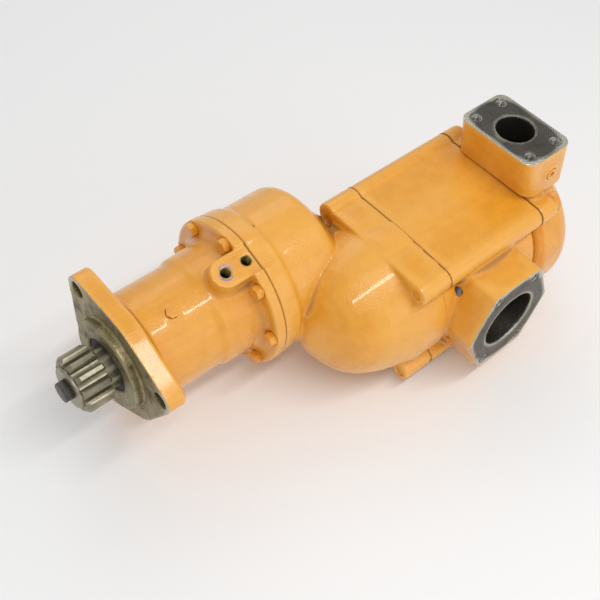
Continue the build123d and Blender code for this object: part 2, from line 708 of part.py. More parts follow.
# ------------------------------------------------------------------ rear head
rear_cap_radius = motor_barrel_radius + 8.0
plenum_radius = liner_outer_radius - 10.0
cover_recess_end_x = rear_plate_end_x + recess_clearance
inlet_block_foot_z = motor_z + panel_height + 1.0
inlet_corner_radius = 11.0
inlet_foot_shift = 6.0
inlet_floor_z = inlet_block_foot_z + 5.0
inlet_passage_width = 30.0
inlet_passage_depth = 45.0
drain_pad_height = 5.0
drain_pad_width = 28.0
bolt_head_room = 10.0
inlet_plug_x = inlet_centre_x + 5.3
inlet_plug_z = inlet_face_z - 25.65
inlet_plug_rise = 3.5
inlet_plug_radius = 6.0
inlet_plug_y = inlet_centre_y - inlet_block_length_y / 2 - inlet_plug_rise
# rounded end of the cap and of its hollow, as (distance before the end, drop below the full radius)
cap_end = ((32.6, -0.5), (24.6, 2.0), (18.6, 6.0), (12.6, 12.0), (6.6, 18.5), (2.1, 25.0), (0.0, 34.0))
plenum_end = ((22.6, 0.0), (12.6, 10.0), (7.6, 20.0))


def make_inlet_block():
    """Port block with drafted sides, a rounded rectangle at its face."""
    top = Pos(inlet_centre_x, inlet_centre_y, inlet_face_z) * RectangleRounded(
        inlet_block_length_x, inlet_block_length_y, inlet_corner_radius)
    foot = Pos(inlet_centre_x + inlet_foot_shift, inlet_centre_y, inlet_block_foot_z) * RectangleRounded(
        inlet_block_length_x - inlet_foot_shift, inlet_block_length_y + 6.0, inlet_corner_radius + 3.0)
    return loft([foot, top])


def inlet_hole(dx, dy, radius, depth):
    hole = Cylinder(radius, depth, align=(Align.CENTER, Align.CENTER, Align.MAX))
    return Pos(inlet_centre_x + dx, inlet_centre_y + dy, inlet_face_z) * hole


def inlet_plug_shape(radius, depth):
    """Round bar along Y from the inlet plug's face inwards."""
    bar = Cylinder(radius, depth, align=(Align.CENTER, Align.CENTER, Align.MAX))
    return Pos(inlet_plug_x, inlet_plug_y, inlet_plug_z) * Rot(90, 0, 0) * bar


def make_rear_head_outside():
    """Flanged ring with bolt lugs, a rounded cap and the inlet block on top."""
    body = motor_prism(motor_barrel_radius, rear_head_front_x, rear_lug_end_x)
    root = [(rear_head_front_x + 0.6, 0), (rear_head_front_x + 0.6, rear_cap_radius - 6.0),
            (rear_head_front_x + 7.0, rear_cap_radius)]
    crown = [(rear_head_end_x - reach, rear_cap_radius - drop) for reach, drop in cap_end]
    body += turned(root + crown + [(rear_head_end_x, 0)], motor_axis)
    return body + make_inlet_block() + inlet_plug_shape(inlet_plug_radius + 3.0, 14.0)


def make_inlet_passage():
    """Inlet bore, and the narrower way from its floor down to the plenum."""
    front_x = cover_recess_end_x + 1.2
    length = inlet_centre_x + inlet_bore_radius - 2.0 - front_x
    way = Box(length, inlet_passage_width, inlet_passage_depth, align=(Align.MIN, Align.CENTER, Align.MAX))
    bore = inlet_hole(0, 0, inlet_bore_radius, inlet_face_z - inlet_floor_z)
    return bore + Pos(front_x, inlet_centre_y, inlet_floor_z + overcut) * way


def make_rear_head():
    """Cover with a plenum behind the rear end plate, fed from the inlet block."""
    body = make_rear_head_outside()
    body -= rod(liner_outer_radius, rear_head_front_x - overcut, cover_recess_end_x, motor_axis)
    plenum = [(rear_plate_end_x, 0), (rear_plate_end_x, plenum_radius)]
    plenum += [(rear_head_end_x - reach, plenum_radius - drop) for reach, drop in plenum_end]
    body -= turned(plenum + [(plenum[-1][0], 0)], motor_axis)
    pad_length = rear_head_end_x - plenum_end[0][0] - cover_recess_end_x
    pad = Box(pad_length, drain_pad_width, 3 * drain_pad_height, align=(Align.MIN, Align.CENTER, Align.MAX))
    body += Pos(cover_recess_end_x, inlet_centre_y, motor_z - plenum_radius + drain_pad_height) * pad
    body -= make_inlet_passage()
    for dx in (-inlet_bolt_spacing_x / 2, inlet_bolt_spacing_x / 2):
        for dy in (-inlet_bolt_spacing_y / 2, inlet_bolt_spacing_y / 2):
            body -= inlet_hole(dx, dy, port_thread_radius, port_thread_depth)
    for angle in bolt_angles:
        spot = polar(tie_bolt_circle_radius, angle, motor_axis)
        end_x = rear_head_end_x + overcut
        body -= rod(tie_bolt_radius + bolt_clearance, rear_head_front_x - overcut, end_x, spot)
        body -= rod(bolt_head_room, rear_lug_end_x, end_x, spot)
    return body - inlet_plug_shape(inlet_plug_radius, 15.0)


def make_inlet_plug():
    """Short pipe plug with a hexagon socket."""
    socket = extrude(RegularPolygon(3.4, 6), -6.0)
    socket = Pos(inlet_plug_x, inlet_plug_y, inlet_plug_z) * Rot(90, 0, 0) * socket
    return inlet_plug_shape(inlet_plug_radius, 15.0) - socket


save("rear_head", make_rear_head())
save("inlet_plug", make_inlet_plug())


# ------------------------------------------------------------------ tie bolts
def make_tie_bolt(angle):
    spot = polar(tie_bolt_circle_radius, angle, motor_axis)
    seat = rear_lug_end_x + tie_washer_thickness
    head_rear = seat + tie_head_height
    head = hex_prism(tie_head_across_flats, seat, head_rear, spot)
    corner = tie_head_across_flats / math.sqrt(3) + 0.05
    crown = turned([
        (seat, 0), (seat, corner), (head_rear - 1.2, corner), (head_rear, corner - 1.3), (head_rear, 0)], spot)
    return (head & crown) + rod(tie_bolt_radius, case_flange_front_x + 1.5, seat, spot)


def make_tie_washer(angle):
    spot = polar(tie_bolt_circle_radius, angle, motor_axis)
    return tube(tie_washer_radius, tie_bolt_radius, rear_lug_end_x, rear_lug_end_x + tie_washer_thickness, spot)


save("tie_bolts", *[make_tie_bolt(angle) for angle in bolt_angles])
save("tie_bolt_washers", *[make_tie_washer(angle) for angle in bolt_angles])


# ------------------------------------------------------------------ vane motor
exhaust_side = 180.0
stub_end_radius = 8.0
stub_end_x = front_plate_x - 18.0
vane_tip_rise = 0.2
vane_root_radius = rotor_radius - vane_height + vane_tip_rise
exhaust_slot_count = 5
exhaust_slot_pitch = 16.0
exhaust_slot = (9.0, 40.0, 46.0)
inlet_slot_angles = (40.0, 65.0, 90.0, 115.0, 140.0)
inlet_slot_circle_radius = rotor_radius - 10.0


def make_liner():
    """Cylinder with its bore off centre, slotted on the exhaust side."""
    bore_centre = polar(liner_offset, exhaust_side, motor_axis)
    body = rod(liner_outer_radius, liner_front_x, liner_rear_x, motor_axis)
    body -= rod(liner_bore_radius, liner_front_x - overcut, liner_rear_x + overcut, bore_centre)
    first_x = (liner_front_x + liner_rear_x - exhaust_slot_pitch * (exhaust_slot_count - 1)) / 2
    for i in range(exhaust_slot_count):
        spot = Pos(first_x + exhaust_slot_pitch * i, motor_y - liner_outer_radius, motor_z)
        body -= spot * Box(*exhaust_slot)
    return body


def make_end_plate(x0, slot_angles):
    """Disc that carries a rotor bearing, with round air slots at the angles given."""
    rear_x = x0 + end_plate_thickness
    body = tube(liner_outer_radius, motor_bearing[1], x0, rear_x, motor_axis)
    for angle in slot_angles:
        spot = polar(inlet_slot_circle_radius, angle, motor_axis)
        body -= rod(8.0, x0 - overcut, rear_x + overcut, spot)
    return body


def make_rotor():
    """Slotted rotor body on a shaft that runs in both end plates."""
    middle_x = (liner_front_x + liner_rear_x) / 2
    body = rod(rotor_radius, liner_front_x + rotor_end_gap, liner_rear_x - rotor_end_gap, motor_axis)
    for i in range(vane_count):
        slot = Box(rotor_length + 2.0, rotor_radius, vane_thickness + 2 * running_clearance,
                   align=(Align.CENTER, Align.MIN, Align.CENTER))
        slot = Pos(middle_x, motor_y + vane_root_radius - 0.4, motor_z) * slot
        body -= at_angle(slot, 360.0 / vane_count * i, motor_axis)
    body += rod(motor_bearing[0], front_plate_x, rear_plate_end_x, motor_axis)
    return body + rod(stub_end_radius, stub_end_x, front_plate_x, motor_axis)


def make_vane(index):
    length = rotor_length - 4 * rotor_end_gap
    blade = Box(length, vane_height, vane_thickness, align=(Align.CENTER, Align.MIN, Align.CENTER))
    blade = Pos((liner_front_x + liner_rear_x) / 2, motor_y + vane_root_radius, motor_z) * blade
    return at_angle(blade, 360.0 / vane_count * index, motor_axis)


def make_pinion_shaft():
    """Rotor pinion turned on its shaft, with a socket for the rotor's front end."""
    outline = gear_face(gear_module, rotor_pinion_teeth, gear_module, 1.25 * gear_module, gear_backlash)
    teeth = Pos(gear_front_x - 1.0, motor_y, motor_z) * extrude(outline, gear_face_width + 2.0)
    mesh_turn = motor_axis_angle + 180.0 + 180.0 / rotor_pinion_teeth
    drive_turn = motor_axis_angle * drive_gear_teeth / rotor_pinion_teeth
    body = at_angle(teeth, mesh_turn + drive_turn, motor_axis)
    body += rod(motor_bearing[0], gear_rear_x, front_plate_x - 1.5, motor_axis)
    return body - rod(stub_end_radius, stub_end_x, front_plate_x, motor_axis)


motor_bearing_x = (*pinion_shaft_bearing_x, front_plate_x, liner_rear_x)
motor_bearing_parts = [bearing(motor_bearing, x, motor_axis, 9) for x in motor_bearing_x]
save("motor_liner", make_liner())
save("front_end_plate", make_end_plate(front_plate_x, ()))
save("rear_end_plate", make_end_plate(liner_rear_x, inlet_slot_angles))
save("rotor", make_rotor())
save("vanes", *[make_vane(i) for i in range(vane_count)])
save("rotor_pinion", make_pinion_shaft())
save("motor_bearing_outer_rings", *[part[0] for part in motor_bearing_parts])
save("motor_bearing_inner_rings", *[part[1] for part in motor_bearing_parts])
save("motor_bearing_balls", *[ball for part in motor_bearing_parts for ball in part[2]])
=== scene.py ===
"""Looks of a pre-engaged air starting motor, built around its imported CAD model. Metres, CAD frame:
X is the drive axis and points to the rear, +Z is up, and the exhaust points to -Y."""
import json
import math

import bpy
import numpy as np
import openvdb
from mathutils import Matrix, Vector


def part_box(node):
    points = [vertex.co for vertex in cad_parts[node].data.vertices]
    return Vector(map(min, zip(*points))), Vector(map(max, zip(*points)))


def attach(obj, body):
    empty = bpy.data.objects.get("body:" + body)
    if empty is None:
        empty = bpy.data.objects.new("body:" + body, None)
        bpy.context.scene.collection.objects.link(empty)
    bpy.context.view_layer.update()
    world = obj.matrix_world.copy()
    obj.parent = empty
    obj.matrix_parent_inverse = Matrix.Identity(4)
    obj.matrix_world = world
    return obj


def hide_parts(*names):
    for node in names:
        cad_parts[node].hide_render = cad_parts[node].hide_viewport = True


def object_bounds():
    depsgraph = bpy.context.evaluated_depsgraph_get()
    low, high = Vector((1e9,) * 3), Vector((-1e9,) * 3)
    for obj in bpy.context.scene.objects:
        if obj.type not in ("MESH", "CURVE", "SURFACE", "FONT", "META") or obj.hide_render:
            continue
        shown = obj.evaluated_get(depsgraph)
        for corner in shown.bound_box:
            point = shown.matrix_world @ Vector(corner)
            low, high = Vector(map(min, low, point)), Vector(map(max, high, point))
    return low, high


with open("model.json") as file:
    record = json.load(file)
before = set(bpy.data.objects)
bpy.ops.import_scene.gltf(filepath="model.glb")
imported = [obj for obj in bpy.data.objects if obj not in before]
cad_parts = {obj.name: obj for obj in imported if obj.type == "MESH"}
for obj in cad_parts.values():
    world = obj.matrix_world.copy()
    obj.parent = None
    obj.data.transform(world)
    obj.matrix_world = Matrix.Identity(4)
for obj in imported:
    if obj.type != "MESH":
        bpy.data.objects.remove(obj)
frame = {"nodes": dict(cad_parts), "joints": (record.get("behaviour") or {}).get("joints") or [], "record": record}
cad_low, cad_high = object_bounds()
MM = 0.001
joints = {j["name"]: j for j in frame["joints"]}
mounts = {m["name"]: m for m in frame["record"]["mounts"]}

# ------------------------------------------------------------------ studio and camera
# A white paper floor under one long soft box overhead, a large pale fill from the exhaust side and an
# even white room. The lens looks down over the pinion end from the exhaust side.
camera_data = bpy.data.cameras.new("studio_camera")
camera_data.sensor_width = 36.0
camera_data.lens = 63.08
camera = bpy.data.objects.new("studio_camera", camera_data)
bpy.context.scene.collection.objects.link(camera)
camera_right = Vector((0.7572, -0.6514, 0.0482))
camera_up = Vector((0.4821, 0.6071, 0.6316))
camera_back = Vector((-0.4407, -0.4550, 0.7738))
camera.matrix_world = Matrix((camera_right, camera_up, camera_back)).transposed().to_4x4()
camera.location = (-0.2662, -0.5096, 0.7802)
bpy.context.scene.camera = camera
bpy.context.scene.view_settings.view_transform = "Standard"

floor_mesh = bpy.data.meshes.new("studio_floor")
floor_half = 6.0
floor_z = cad_low.z - 0.0005
floor_corners = [(x * floor_half, y * floor_half, floor_z) for x, y in ((-1, -1), (1, -1), (1, 1), (-1, 1))]
floor_mesh.from_pydata(floor_corners, [], [(0, 1, 2, 3)])
floor = bpy.data.objects.new("studio_floor", floor_mesh)
bpy.context.scene.collection.objects.link(floor)
paper = bpy.data.materials.new("white_paper")
paper.use_nodes = True
paper.node_tree.nodes["Principled BSDF"].inputs["Base Color"].default_value = (0.93, 0.93, 0.93, 1)
paper.node_tree.nodes["Principled BSDF"].inputs["Roughness"].default_value = 0.9
floor_mesh.materials.append(paper)


def soft_box(name, place, aim, length, width, power):
    """A rectangular soft light at a place, facing an aim point, its long side along X."""
    data = bpy.data.lights.new(name, "AREA")
    data.shape, data.size, data.size_y, data.energy = "RECTANGLE", length, width, power
    lamp = bpy.data.objects.new(name, data)
    bpy.context.scene.collection.objects.link(lamp)
    back = (Vector(place) - Vector(aim)).normalized()
    side = Vector((1, 0, 0)) - back * back.x
    side.normalize()
    lamp.matrix_world = Matrix((side, back.cross(side), back)).transposed().to_4x4()
    lamp.location = place


middle = (cad_low + cad_high) / 2
soft_box("overhead_strip", middle + Vector((-0.05, -0.62, 1.35)), middle, 1.5, 0.12, 10.0)
soft_box("side_fill", middle + Vector((0.55, -1.6, 0.5)), middle, 1.4, 1.0, 4.0)
soft_box("back_top", middle + Vector((0.3, 1.3, 1.3)), middle, 1.6, 0.8, 4.0)
room = bpy.data.worlds.new("white_room")
room.use_nodes = True
room.node_tree.nodes["Background"].inputs["Color"].default_value = (1.0, 1.0, 1.0, 1)
room.node_tree.nodes["Background"].inputs["Strength"].default_value = 0.55
bpy.context.scene.world = room


# ------------------------------------------------------------------ sprayed enamel
# All castings and their fasteners are painted together, after assembly, with one gloss machine enamel. The
# film has orange peel, a painted highlight on its sharp edges, and painted shade in its corners with a few
# dirt smears. Machined faces are masked.
def node(tree, kind, settings=None, **sockets):
    """A shader node. A socket name maps to a value, or to another node's output to be linked; i0, i1
    name sockets by their order."""
    made = tree.nodes.new("ShaderNode" + kind)
    for key, value in (settings or {}).items():
        setattr(made, key, value)
    for key, value in sockets.items():
        socket = made.inputs[int(key[1:])] if key[1:].isdigit() else made.inputs[key.replace("_", " ")]
        if isinstance(value, bpy.types.NodeSocket):
            tree.links.new(value, socket)
        else:
            socket.default_value = value
    return made


def math_of(tree, operation, *values):
    """Output of one math node."""
    return node(tree, "Math", {"operation": operation}, **{f"i{i}": v for i, v in enumerate(values)}).outputs[0]


def blend_of(tree, factor, first, second):
    """A colour that goes from first to second as factor goes from 0 to 1."""
    made = node(tree, "Mix", {"data_type": "RGBA"}, i0=factor, i6=first, i7=second)
    return made.outputs[2]


def ramp_of(tree, value, start, end):
    """0 below start, 1 above end, smooth between."""
    made = node(tree, "MapRange", {"interpolation_type": "SMOOTHSTEP"}, Value=value)
    made.inputs["From Min"].default_value = start
    made.inputs["From Max"].default_value = end
    return made.outputs[0]


def new_group(name, inputs, outputs):
    """An empty shader node group with float or vector inputs and float outputs."""
    group = bpy.data.node_groups.new(name, "ShaderNodeTree")
    for label, kind, value in inputs:
        socket = group.interface.new_socket(label, in_out="INPUT", socket_type="NodeSocket" + kind)
        socket.default_value = value
    for label in outputs:
        group.interface.new_socket(label, in_out="OUTPUT", socket_type="NodeSocketFloat")
    entry = group.nodes.new("NodeGroupInput")
    leave = group.nodes.new("NodeGroupOutput")
    return group, entry.outputs, leave.inputs


def group_node(tree, group, **sockets):
    """A group placed in a material, with its values."""
    made = tree.nodes.new("ShaderNodeGroup")
    made.node_tree = group
    for key, value in sockets.items():
        socket = made.inputs[key.replace("_", " ")]
        if isinstance(value, bpy.types.NodeSocket):
            tree.links.new(value, socket)
        else:
            socket.default_value = value
    return made.outputs


def make_orange_peel():
    """Height and tone of a sprayed film: fine ripple, wider sag waves, and a few bubbles and dust nibs."""
    group, given, out = new_group("orange_peel", [("Place", "Vector", (0, 0, 0)), ("Ripple", "Float", 700.0)],
                                  ["Height", "Tone"])
    ripple = node(group, "TexNoise", i0=given["Place"], Scale=given["Ripple"], Detail=2.0).outputs[0]
    sag = node(group, "TexNoise", i0=given["Place"], Scale=70.0, Detail=2.0).outputs[0]
    cells = node(group, "TexVoronoi", i0=given["Place"], Scale=190.0).outputs["Distance"]
    patch = node(group, "TexNoise", i0=given["Place"], Scale=26.0, Detail=1.0).outputs[0]
    nib = math_of(group, "MULTIPLY", ramp_of(group, cells, 0.16, 0.05), ramp_of(group, patch, 0.60, 0.68))
    wave = math_of(group, "MULTIPLY_ADD", sag, 1.6, ripple)
    group.links.new(math_of(group, "MULTIPLY_ADD", nib, 0.9, wave), out["Height"])
    group.links.new(math_of(group, "MULTIPLY_ADD", nib, 0.5, sag), out["Tone"])
    return group


def make_hollow_shade_and_dirt():
    """Mask of painted shade and dirt: painted shade is strong in hollows, and faint dirt smears lie elsewhere.
    Relief is below 0 in hollows.
    """
    group, given, out = new_group("hollow_shade_and_dirt", [("Place", "Vector", (0, 0, 0)), ("Relief", "Float", 0.0),
                                                ("Amount", "Float", 1.0)], ["Mask"])
    blotch = node(group, "TexNoise", i0=given["Place"], Scale=42.0, Detail=5.0, Roughness=0.62).outputs[0]
    # Painted shade: dark where the relief is below 0, in hollows.
    hollow_shade = ramp_of(group, given["Relief"], -0.15, -1.9)
    shaded_hollows = math_of(group, "MULTIPLY", hollow_shade, math_of(group, "MULTIPLY_ADD", blotch, 0.9, 0.25))
    smear = math_of(group, "MULTIPLY", ramp_of(group, blotch, 0.60, 0.80), 0.15)
    total = math_of(group, "MULTIPLY", math_of(group, "MAXIMUM", shaded_hollows, smear), given["Amount"])
    group.links.new(math_of(group, "MINIMUM", total, 1.0), out["Mask"])
    return group


def make_tool_marks():
    """Height and sheen of a cut face: fine rings round a centre line, broken by a faint drag pattern.
    Distance from the line is the length of the place with the part along the line taken out."""
    sockets = [("Place", "Vector", (0, 0, 0)), ("Centre", "Vector", (0, 0, 0)), ("Across", "Vector", (0, 1, 1)),
               ("Feed", "Float", 2600.0)]
    group, given, out = new_group("tool_marks", sockets, ["Height", "Stain"])
    shifted = node(group, "VectorMath", {"operation": "SUBTRACT"}, i0=given["Place"], i1=given["Centre"])
    flat = node(group, "VectorMath", {"operation": "MULTIPLY"}, i0=shifted.outputs[0], i1=given["Across"])
    reach = node(group, "VectorMath", {"operation": "LENGTH"}, i0=flat.outputs[0]).outputs["Value"]
    ring = math_of(group, "SINE", math_of(group, "MULTIPLY", reach, given["Feed"]))
    drag = node(group, "TexNoise", i0=given["Place"], Scale=330.0, Detail=4.0).outputs[0]
    stain = node(group, "TexNoise", i0=given["Place"], Scale=60.0, Detail=6.0, Roughness=0.68).outputs[0]
    group.links.new(math_of(group, "MULTIPLY_ADD", ring, 0.35, drag), out["Height"])
    group.links.new(stain, out["Stain"])
    return group


orange_peel, hollow_shade_and_dirt, tool_marks = make_orange_peel(), make_hollow_shade_and_dirt(), make_tool_marks()
enamel_light = (0.830, 0.360, 0.028, 1)
enamel_deep = (0.770, 0.322, 0.022, 1)
# Dark brown, used for painted shade in hollows and for dirt smears.
enamel_shade_and_dirt = (0.260, 0.105, 0.022, 1)
# Light orange, used for a painted highlight on convex edges.
enamel_edge_highlight = (0.930, 0.500, 0.100, 1)
bare_olive = (0.330, 0.272, 0.140, 1)
bare_grey = (0.115, 0.108, 0.094, 1)
bare_brown = (0.085, 0.072, 0.052, 1)
# Pale iron, used for a painted highlight on the convex edges of cut faces.
iron_edge_highlight = (0.56, 0.53, 0.44, 1)
sealant_blue = (0.035, 0.175, 0.560, 1)
mask_offset = 2.0  # the bare attribute holds millimetres past the masking line plus this


def enamel(name, iron=bare_grey, centre=(0, 0, 0), across=(0, 1, 1), shade_and_dirt=1.0):
    """Gloss enamel, with cut iron where the piece's bare attribute is past the masking line. By its relief it gets
    painted shade with dirt in hollows and a painted highlight on convex edges."""
    material = bpy.data.materials.new(name)
    material.use_nodes = True
    tree = material.node_tree
    surface = tree.nodes["Principled BSDF"]
    place = node(tree, "TexCoord").outputs["Object"]
    relief = node(tree, "Attribute", {"attribute_name": "relief"}).outputs["Fac"]
    masked = node(tree, "Attribute", {"attribute_name": "bare"}).outputs["Fac"]
    sealant = node(tree, "Attribute", {"attribute_name": "sealant"}).outputs["Fac"]
    film = group_node(tree, orange_peel, Place=place)
    # Mask of painted shade in hollows, mixed with dirt smears.
    shade_and_grime = group_node(tree, hollow_shade_and_dirt, Place=place, Relief=relief, Amount=shade_and_dirt)["Mask"]
    cut = group_node(tree, tool_marks, Place=place, Centre=centre, Across=across)
    ragged = node(tree, "TexNoise", i0=place, Scale=420.0, Detail=3.0).outputs[0]
    ragged = math_of(tree, "MULTIPLY_ADD", ragged, 0.9, -0.45)
    bare = ramp_of(tree, math_of(tree, "ADD", masked, ragged), mask_offset - 0.06, mask_offset + 0.06)
    blue = math_of(tree, "MULTIPLY", sealant, ramp_of(tree, ragged, -0.25, 0.05))
    # Painted highlight: the paint turns lighter on convex edges, where the relief is high.
    edge_highlight = math_of(tree, "MULTIPLY", ramp_of(tree, relief, 0.5, 1.8), 0.35)
    tone = ramp_of(tree, film["Tone"], 0.30, 0.75)
    paint = blend_of(tree, tone, enamel_light, enamel_deep)
    paint = blend_of(tree, edge_highlight, paint, enamel_edge_highlight)
    # Painted shade and dirt: the paint turns brown in hollows and in a few smears.
    paint = blend_of(tree, shade_and_grime, paint, enamel_shade_and_dirt)
    paint = blend_of(tree, blue, paint, sealant_blue)
    metal = blend_of(tree, ramp_of(tree, cut["Stain"], 0.42, 0.72), iron, bare_brown)
    # Painted highlight: cut iron turns pale on convex edges.
    metal = blend_of(tree, ramp_of(tree, relief, 1.4, 2.6), metal, iron_edge_highlight)
    tree.links.new(blend_of(tree, bare, paint, metal), surface.inputs["Base Color"])
    paint_rough = math_of(tree, "MULTIPLY_ADD", shade_and_grime, 0.35, 0.27)
    metal_rough = math_of(tree, "MULTIPLY_ADD", cut["Stain"], 0.35, 0.24)
    rough = node(tree, "Mix", {"data_type": "FLOAT"}, i0=bare, i2=paint_rough, i3=metal_rough).outputs[0]
    tree.links.new(rough, surface.inputs["Roughness"])
    tree.links.new(math_of(tree, "MULTIPLY", bare, 0.9), surface.inputs["Metallic"])
    height = node(tree, "Mix", {"data_type": "FLOAT"}, i0=bare, i2=film["Height"], i3=cut["Height"]).outputs[0]
    bump = node(tree, "Bump", Height=height, Strength=0.55, Distance=0.0009)
    tree.links.new(bump.outputs[0], surface.inputs["Normal"])
    surface.inputs["Coat Roughness"].default_value = 0.06
    tree.links.new(math_of(tree, "MULTIPLY_ADD", bare, -0.45, 0.45), surface.inputs["Coat Weight"])
    return material


# ------------------------------------------------------------------ drive housing
# Ductile iron casting that holds the pinion shaft. Its front face, pilot, bores and screw seats are turned
# and milled after casting; the rest keeps its sand-cast skin with round roots, under paint.
def within(first, second, centre, radius):
    """How far inside a round hole a point is, in mm, from its two coordinates across the hole."""
    return radius - np.hypot(first - centre[0], second - centre[1])


def any_of(regions):
    """Union of regions, each given as the depth inside it in mm: the largest depth at each point."""
    return np.maximum.reduce(np.broadcast_arrays(*regions))


def averaged(field, steps):
    """Each step mixes every cell 2:1:1 with the two cells that many places away, along each axis in turn."""
    for step in steps:
        for axis in range(3):
            field = 0.5 * field + 0.25 * (np.roll(field, step, axis) + np.roll(field, -step, axis))
    return field


def cast_skin(name, pitch, cut_region, bare_region, edge_steps=(1, 1), root_steps=(1, 2, 3, 4), band=12,
              extra=None):
    """Skin of a casting, as the zero level of a distance field d on a grid with this pitch in mm.
    d is the signed distance to the CAD solid. Averaged a little, it rounds the outer edges; averaged
    widely, it fills the inside corners, and the smaller of the two is the raw casting. In the machinist's
    cut region, where cut_region is above 0, the plain d is kept, so turned faces and holes stay sharp."""
    source = frame["nodes"][name].data
    corners = np.empty(len(source.vertices) * 3, np.float32)
    source.vertices.foreach_get("co", corners)
    source.calc_loop_triangles()
    triangles = np.empty(len(source.loop_triangles) * 3, np.int32)
    source.loop_triangles.foreach_get("vertices", triangles)
    transform = openvdb.createLinearTransform(voxelSize=pitch)
    solid = openvdb.FloatGrid.createLevelSetFromPolygons(
        corners.reshape(-1, 3) / MM, triangles=triangles.reshape(-1, 3), transform=transform, halfWidth=band)
    low, high = solid.evalActiveVoxelBoundingBox()
    distance = np.empty([b - a + 1 for a, b in zip(low, high)], np.float32)
    solid.copyToArray(distance, ijk=low)
    x, y, z = (np.arange(a, b + 1, dtype=np.float32) * pitch for a, b in zip(low, high))
    x, y, z = x[:, None, None], y[None, :, None], z[None, None, :]
    rounded = averaged(distance, edge_steps)
    webbed = averaged(distance, root_steps)
    raw = np.minimum(rounded, webbed)
    sharp = np.clip(cut_region(x, y, z) / pitch + 0.5, 0, 1)
    skin = raw + (distance - raw) * sharp
    shaped = openvdb.FloatGrid(band * pitch)
    shaped.copyFromArray(np.ascontiguousarray(skin, np.float32), ijk=low)
    shaped.transform = transform
    points, quads = shaped.convertToQuads()
    cells = np.clip(np.rint(points / pitch).astype(int) - np.array(low), 0, np.array(distance.shape) - 1)
    relief = (webbed - rounded)[tuple(cells.T)]
    mesh = bpy.data.meshes.new(name + "_skin")
    mesh.from_pydata(points * MM, [], quads[:, ::-1])
    mesh.attributes.new("relief", "FLOAT", "POINT").data.foreach_set("value", relief.astype(np.float32))
    bare = bare_region(points[:, 0], points[:, 1], points[:, 2])
    bare = np.clip(bare + mask_offset, 0, 2 * mask_offset)
    mesh.attributes.new("bare", "FLOAT", "POINT").data.foreach_set("value", bare.astype(np.float32))
    if extra:
        value = extra(points[:, 0], points[:, 1], points[:, 2])
        mesh.attributes.new("sealant", "FLOAT", "POINT").data.foreach_set("value", value.astype(np.float32))
    mesh.shade_smooth()
    piece = bpy.data.objects.new(name + "_skin", mesh)
    bpy.context.scene.collection.objects.link(piece)
    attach(piece, "housing")
    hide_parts(name)
    return piece


def centre_of(mount):
    """A mount's point, in mm."""
    return [c / MM for c in mounts[mount]["pos_m"]]


def at_angles(circle, angles, centre=(0, 0)):
    """Points on a circle about a centre line along X, in mm, at angles in degrees from +Y to +Z."""
    return [(centre[0] + circle * math.cos(a), centre[1] + circle * math.sin(a)) for a in np.radians(angles)]


joint_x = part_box("drive_housing")[1].x / MM
ear_spots = at_angles(mounts["mounting_holes"]["dims"]["pcd_mm"] / 2, (46.0, 166.0, 286.0))
ear_rear_x = 25.0
drive_cavity_radius = 46.0
screw_spots = at_angles(69.2, np.arange(0, 360, 45))
screw_seat_front_x = 108.0
port_direction = np.array(mounts["engage_port"]["axis"])
port_pad_height = 74.0
engage_x, sense_x = centre_of("engage_port")[0], centre_of("sense_port")[0]


def port_frame(y, z):
    """Height above the drive axis along the port pad's direction, and the offset across it."""
    return y * port_direction[1] + z * port_direction[2], y * port_direction[2] - z * port_direction[1]


def drive_cuts(x, y, z):
    """Front and joint faces, cavity, pad top, ear holes, screw seats and ports, each with a margin."""
    height, across = port_frame(y, z)
    cuts = [1.6 - x, x - (joint_x - 1.4), within(y, z, (0, 0), drive_cavity_radius + 1.0),
            height - (port_pad_height - 1.6)]
    cuts += [np.minimum(within(y, z, spot, 10.0), ear_rear_x - x) for spot in ear_spots]
    cuts += [np.minimum(within(y, z, spot, 10.2), x - screw_seat_front_x) for spot in screw_spots]
    cuts += [within(x, across, (port_x, 0), 7.4) for port_x in (engage_x, sense_x)]
    return any_of(cuts)


def drive_bare(x, y, z):
    """The mounting face with its pilot, the cavity, the ear holes and the ports stay unpainted."""
    height, across = port_frame(y, z)
    bare = [0.45 - x, within(y, z, (0, 0), drive_cavity_radius + 1.5)]
    bare += [np.minimum(within(y, z, spot, 8.75), ear_rear_x - x) for spot in ear_spots]
    bare += [np.minimum(within(x, across, (port_x, 0), 6.0), height - 50.0) for port_x in (engage_x, sense_x)]
    return any_of(bare)


def port_sealant(x, y, z):
    """Two arcs of dried thread sealant round the engage port, as a mask from 0 to 1: a ring 1.8 mm wide at
    7.3 mm from the hole's centre, cut into arcs by the sine of the angle round it."""
    height, across = port_frame(y, z)
    reach = np.hypot(x - engage_x, across)
    turn = np.arctan2(across, x - engage_x)
    ring = 0.9 - np.abs(reach - 7.3)
    arcs = np.minimum(ring, 0.9 * np.abs(np.sin(turn + 0.5)) - 0.25)
    return np.clip(2.5 * np.minimum(arcs, height - (port_pad_height - 3.0)), 0, 1)


drive_skin = cast_skin("drive_housing", 1.15, drive_cuts, drive_bare, extra=port_sealant)
drive_skin.data.materials.append(enamel("painted_drive_housing", iron=bare_olive))

# ------------------------------------------------------------------ gear case
# Ductile iron casting over the reduction gears: a round hump on the drive axis runs into a dome on the
# motor axis, and a ridged flange meets the motor. Joint faces are milled, gear and bearing seats bored.
motor_y, motor_z = (c / MM for c in joints["rotor_spin"]["pos_m"][1:])
motor_axis = (motor_y, motor_z)
case_front_x, case_rear_x = (corner.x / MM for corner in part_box("gear_case"))
bolt_spots = at_angles(85.3, (45, 135, 225, 315), motor_axis)
gear_cavity_end_x = 193.0


